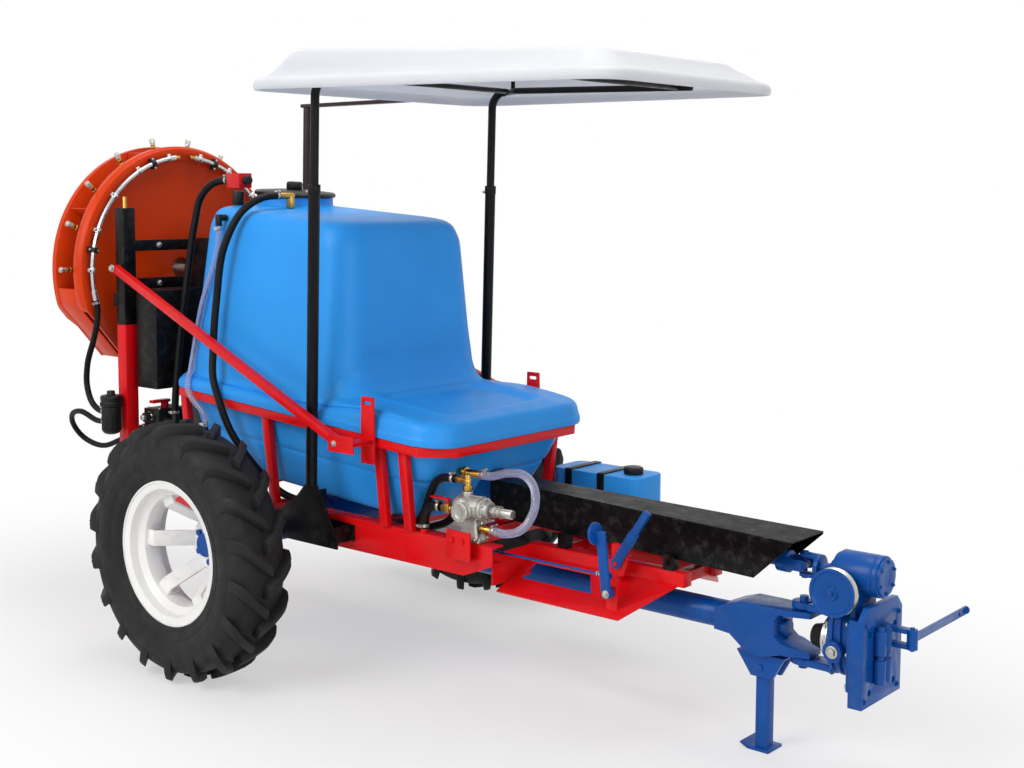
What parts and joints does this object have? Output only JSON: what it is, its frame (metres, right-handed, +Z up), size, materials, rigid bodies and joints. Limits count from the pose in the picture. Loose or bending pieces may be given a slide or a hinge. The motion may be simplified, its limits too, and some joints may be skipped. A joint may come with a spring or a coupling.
{
  "type": "orchard sprayer cart",
  "caption": "Two-wheel ride-on sprayer trailer with a moulded tank and seat, canopy, axial fan with spray nozzles, pump, drawbar and a steering drive hitch.",
  "frame": {"origin": "centre of the cart's bounding box, on the ground", "axes": "+X forward along the drawbar to the hitch, +Z up, -Y the near side with the pump and the hoses"},
  "size_m": [3.16, 1.554, 1.946],
  "materials": {
    "tyre_rubber": "matt rubber, dusty",
    "white_paint": "semi-gloss white enamel",
    "blue_paint": "semi-gloss blue enamel",
    "red_paint": "semi-gloss red enamel",
    "black_paint": "satin black enamel",
    "tank_plastic": "moulded polyethylene, soft gloss",
    "black_plastic": "satin",
    "red_plastic": "gloss",
    "fan_orange": "semi-gloss orange-red enamel",
    "grey_metal": "cast, matt",
    "bright_steel": "brushed",
    "brass": "machined",
    "canopy_plastic": "moulded, soft gloss",
    "boot_rubber": "matt",
    "clear_hose": "clear PVC",
    "black_hose": "satin"
  },
  "bodies": {
    "chassis": {"axle_housing": "blue_paint", "chassis_rails": "red_paint", "footplates": "red_paint", "drawbar_tube": "blue_paint", "drawbar_fork": "blue_paint", "ring_frame": "red_paint", "ring_posts": "red_paint", "lift_lugs": "red_paint", "canopy_sleeves": "black_paint", "tank_shell": "tank_plastic", "tank_fittings": "brass", "rinse_tank": "tank_plastic", "rinse_tank_strap": "black_paint", "driveline_shield": "black_plastic", "pump_body": "grey_metal", "pump_fittings": "brass", "fan_mast_frame": "red_paint", "mast_struts": "red_paint", "fan_drive_case": "black_paint", "fan_front_disc": "fan_orange", "fan_rear_ring": "fan_orange", "fan_bridges": "fan_orange", "fan_guard": "black_paint", "spray_manifolds": "bright_steel", "spray_nozzles": "brass", "suction_filter": "black_plastic", "control_valves": "black_plastic", "hand_lever_quadrant": "red_paint", "sight_tube": "clear_hose", "return_hose": "black_hose", "fan_feed_hose": "black_hose", "manifold_hose": "black_hose", "filter_hose": "black_hose", "pump_clear_hose": "clear_hose", "chassis_hoses": "black_hose"},
    "near_wheel": {"near_tyre": "tyre_rubber", "near_rim": "white_paint", "near_hub": "blue_paint"},
    "far_wheel": {"far_tyre": "tyre_rubber", "far_rim": "white_paint", "far_hub": "blue_paint"},
    "driveline": {"pto_shaft": "blue_paint"},
    "impeller": {"fan_impeller": "grey_metal"},
    "pump_drive": {"pump_shaft": "bright_steel"},
    "pump_valve": {"pump_valve_handle": "red_plastic"},
    "control_valve": {"control_valve_handle": "red_plastic"},
    "canopy": {"canopy_shell": "canopy_plastic", "canopy_posts": "black_paint"},
    "lid": {"tank_lid": "black_plastic"},
    "rinse_cap": {"rinse_tank_cap": "black_plastic"},
    "pedal": {"brake_pedal": "blue_paint"},
    "brake_pull": {"brake_rod": "blue_paint"},
    "parking_lever": {"hand_lever": "blue_paint"},
    "hitch_head": {"hitch_gearcase": "blue_paint", "hitch_boot": "boot_rubber", "hitch_plate": "blue_paint"},
    "hitch_input": {"input_yoke": "blue_paint"},
    "pulley": {"belt_pulley": "blue_paint"},
    "hitch_lever": {"hitch_arm": "blue_paint"},
    "leg": {"support_leg": "blue_paint"}
  },
  "joints": [
    {"name": "near_wheel_spin", "type": "hinge", "parent": "chassis", "child": "near_wheel", "pos_m": [-0.484, -0.677, 0.405], "axis": [0, 1, 0], "continuous": true},
    {"name": "far_wheel_spin", "type": "hinge", "parent": "chassis", "child": "far_wheel", "pos_m": [-0.484, 0.677, 0.405], "axis": [0, 1, 0], "continuous": true},
    {"name": "pto_spin", "type": "hinge", "parent": "chassis", "child": "driveline", "pos_m": [0.116, 0, 0.531], "axis": [1, 0, 0], "continuous": true},
    {"name": "impeller_spin", "type": "hinge", "parent": "chassis", "child": "impeller", "pos_m": [-1.453, 0, 1.225], "axis": [1, 0, 0], "continuous": true},
    {"name": "pump_spin", "type": "hinge", "parent": "chassis", "child": "pump_drive", "pos_m": [0.466, -0.3, 0.6], "axis": [1, 0, 0], "continuous": true},
    {"name": "pump_valve_turn", "type": "hinge", "parent": "chassis", "child": "pump_valve", "pos_m": [0.284, -0.312, 0.605], "axis": [0, 0, 1], "range_deg": [0, 90]},
    {"name": "control_valve_turn", "type": "hinge", "parent": "chassis", "child": "control_valve", "pos_m": [-1.127, -0.272, 0.76], "axis": [0, 0, 1], "range_deg": [-90, 0]},
    {"name": "canopy_height", "type": "slide", "parent": "chassis", "child": "canopy", "axis": [0.0272, 0, 0.9996], "range_m": [0, 0.12]},
    {"name": "lid_hinge", "type": "hinge", "parent": "chassis", "child": "lid", "pos_m": [-0.86936, 0, 1.51204], "axis": [0, -1, 0], "range_deg": [0, 95]},
    {"name": "rinse_cap_turn", "type": "hinge", "parent": "chassis", "child": "rinse_cap", "pos_m": [0.436, 0.42, 0.61], "axis": [0, 0, 1], "range_deg": [0, 360]},
    {"name": "brake_pedal_hinge", "type": "hinge", "parent": "chassis", "child": "pedal", "pos_m": [0.82, -0.25, 0.418], "axis": [0, 1, 0], "range_deg": [0, 25], "stiffness_Nm_per_rad": 12, "springref_deg": -14.32},
    {"name": "brake_rod_slide", "type": "slide", "parent": "chassis", "child": "brake_pull", "axis": [1, 0, 0], "range_m": [0, 0.022]},
    {"name": "parking_lever_hinge", "type": "hinge", "parent": "chassis", "child": "parking_lever", "pos_m": [0.778, -0.15, 0.476], "axis": [0, 1, 0], "range_deg": [-28, 0]},
    {"name": "hitch_steer", "type": "hinge", "parent": "chassis", "child": "hitch_head", "pos_m": [1.281, 0, 0.348], "axis": [0, 0, 1], "range_deg": [-35, 35]},
    {"name": "hitch_input_spin", "type": "hinge", "parent": "hitch_head", "child": "hitch_input", "pos_m": [1.281, 0, 0.531], "axis": [1, 0, 0], "continuous": true},
    {"name": "pulley_spin", "type": "hinge", "parent": "hitch_head", "child": "pulley", "pos_m": [1.406, -0.083, 0.495], "axis": [0, 1, 0], "continuous": true},
    {"name": "hitch_lever_turn", "type": "hinge", "parent": "hitch_head", "child": "hitch_lever", "pos_m": [1.566, 0.04, 0.376], "axis": [0, 0, 1], "range_deg": [-25, 25]},
    {"name": "leg_fold", "type": "hinge", "parent": "chassis", "child": "leg", "pos_m": [1.169, 0, 0.232], "axis": [0, 1, 0], "range_deg": [0, 90]}
  ],
  "couplings": [
    {"joint": "impeller_spin", "follows": "pto_spin", "ratio": 1},
    {"joint": "hitch_input_spin", "follows": "pto_spin", "ratio": 1},
    {"joint": "pulley_spin", "follows": "pto_spin", "ratio": 1},
    {"joint": "brake_rod_slide", "follows": "brake_pedal_hinge", "m_per_rad": 0.04566}
  ]
}
